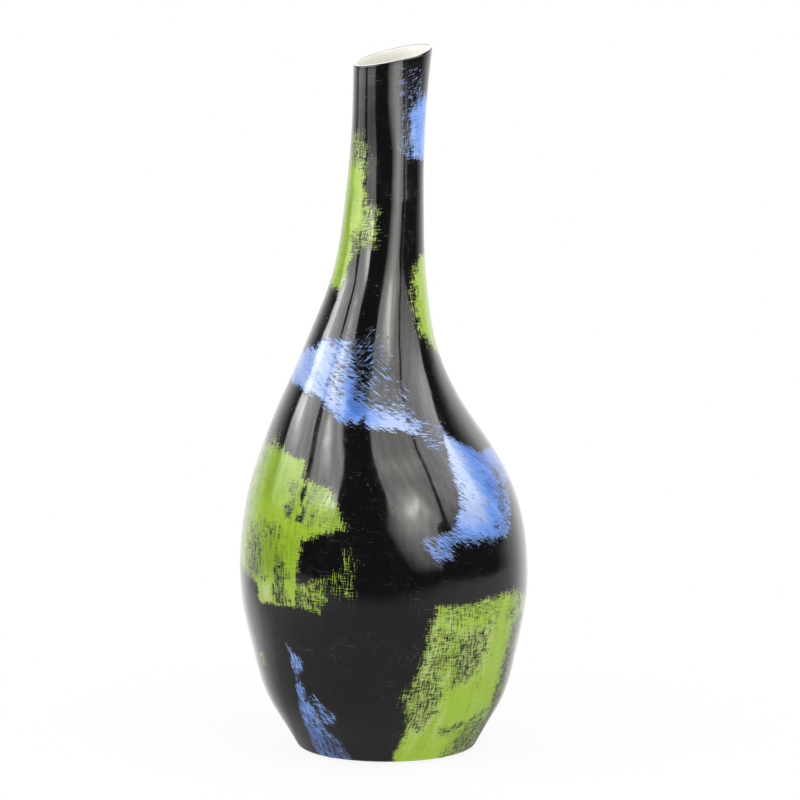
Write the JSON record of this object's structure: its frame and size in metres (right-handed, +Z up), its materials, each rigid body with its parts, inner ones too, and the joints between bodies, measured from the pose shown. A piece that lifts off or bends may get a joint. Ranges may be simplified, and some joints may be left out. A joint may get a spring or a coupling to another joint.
{
  "type": "bottle vase",
  "caption": "Slim bottle vase with a round belly, a neck that leans to one side and a mouth cut on a slant; black gloss lacquer with dry-brushed green and blue patches.",
  "frame": {"origin": "on the floor, under the middle of the belly", "axes": "+Z up, along the height; +X towards the side that the mouth rises to; -Y towards the front of the picture"},
  "size_m": [0.1708, 0.1706, 0.419],
  "materials": {
    "black_lacquer": "gloss black lacquer over coiled wood, with dry-brushed green and blue patches",
    "pale_lining": "matt pale cream coat over wood",
    "felt": "matt felt"
  },
  "bodies": {
    "root": {"lower_bowl": "black_lacquer", "shoulder_shell": "black_lacquer", "neck_tube": "black_lacquer", "floor_disc": "pale_lining", "foot_pad_1": "felt", "foot_pad_2": "felt", "foot_pad_3": "felt", "foot_pad_4": "felt"}
  },
  "joints": []
}
